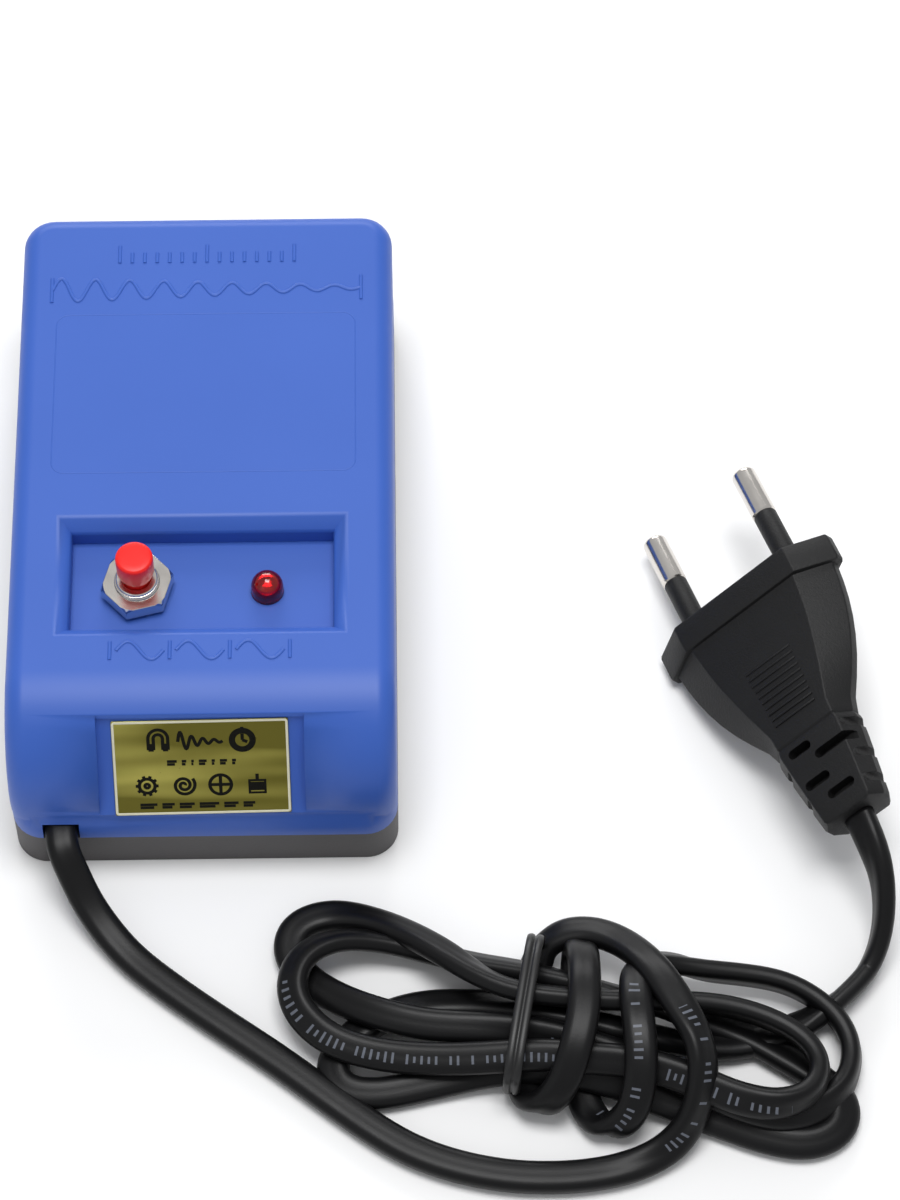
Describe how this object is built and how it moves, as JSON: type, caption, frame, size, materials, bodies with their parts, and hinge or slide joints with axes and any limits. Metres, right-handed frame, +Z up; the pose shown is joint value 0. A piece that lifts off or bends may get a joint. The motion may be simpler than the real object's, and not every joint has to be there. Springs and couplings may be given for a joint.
{
  "type": "watchmaker's demagnetizer",
  "caption": "Bench demagnetizer: plastic case with a coil under its deck, push switch and lamp in a sunken pocket, and a flat mains lead folded into a tied hank.",
  "frame": {"origin": "middle of the case's footprint on the bench; the lead and plug are left out of this measure", "axes": "+Z up, +Y from the label end to the far end of the deck, +X to the lamp's side"},
  "size_m": [0.1359, 0.1588, 0.0353],
  "materials": {
    "cover_plastic": "moulded blue ABS with a soft sheen",
    "base_plastic": "moulded dark grey ABS, fine matt grain",
    "gold_foil": "brushed gold foil sticker with black print",
    "zinc_steel": "zinc plated steel",
    "core_steel": "stacked electrical steel sheets, varnished edges",
    "bobbin_nylon": "natural nylon moulding",
    "enamelled_wire": "enamelled copper wire, wound in layers",
    "yellow_tape": "polyester coil tape",
    "nickel": "bright nickel plate on brass",
    "brass": "plain brass contact strip",
    "black_plastic": "black moulded insulation",
    "red_plastic": "bright red gloss moulding",
    "white_nylon": "white nylon",
    "spring_steel": "drawn spring wire",
    "red_lens": "clear red epoxy lens",
    "tinned_wire": "tinned copper leads",
    "resistor_body": "lacquered resistor body",
    "core_insulation": "PVC core insulation",
    "red_insulation": "PVC hook-up wire insulation",
    "lead_pvc": "black satin PVC lead with printed dashes",
    "tie_rubber": "black double-ridged tie band",
    "plug_pvc": "black moulded PVC with fine spark grain"
  },
  "bodies": {
    "root": {"base_tray": "base_plastic", "top_cover": "cover_plastic", "foil_label": "gold_foil", "base_screws": "zinc_steel", "core_laminations": "core_steel", "coil_bobbin": "bobbin_nylon", "coil_winding": "enamelled_wire", "coil_tape": "yellow_tape", "core_bracket": "zinc_steel", "bracket_screws": "zinc_steel", "switch_bushing": "nickel", "switch_nut": "nickel", "switch_lock_washer": "nickel", "switch_housing": "black_plastic", "switch_terminals": "brass", "switch_spring": "spring_steel", "led_lens": "red_lens", "led_leads": "tinned_wire", "led_resistor": "resistor_body", "lead_sleeves": "black_plastic", "cord_clamp": "base_plastic", "clamp_screw": "zinc_steel", "core_wires": "core_insulation", "coil_wires": "red_insulation", "splice_caps": "white_nylon", "cord_run": "lead_pvc", "cord_hank": "lead_pvc", "cord_tail": "lead_pvc", "cord_tie": "tie_rubber", "plug_body": "plug_pvc", "plug_bridge": "bobbin_nylon", "pin_sleeves": "black_plastic", "plug_pins": "nickel"},
    "button": {"button_cap": "red_plastic", "button_plunger": "white_nylon", "switch_contact": "brass"}
  },
  "joints": [
    {"name": "button_press", "type": "slide", "parent": "root", "child": "button", "axis": [0, 0, -1], "range_m": [0, 0.0018], "stiffness_N_per_m": 400, "springref_m": -0.0015, "deforming": ["switch_spring"]}
  ]
}
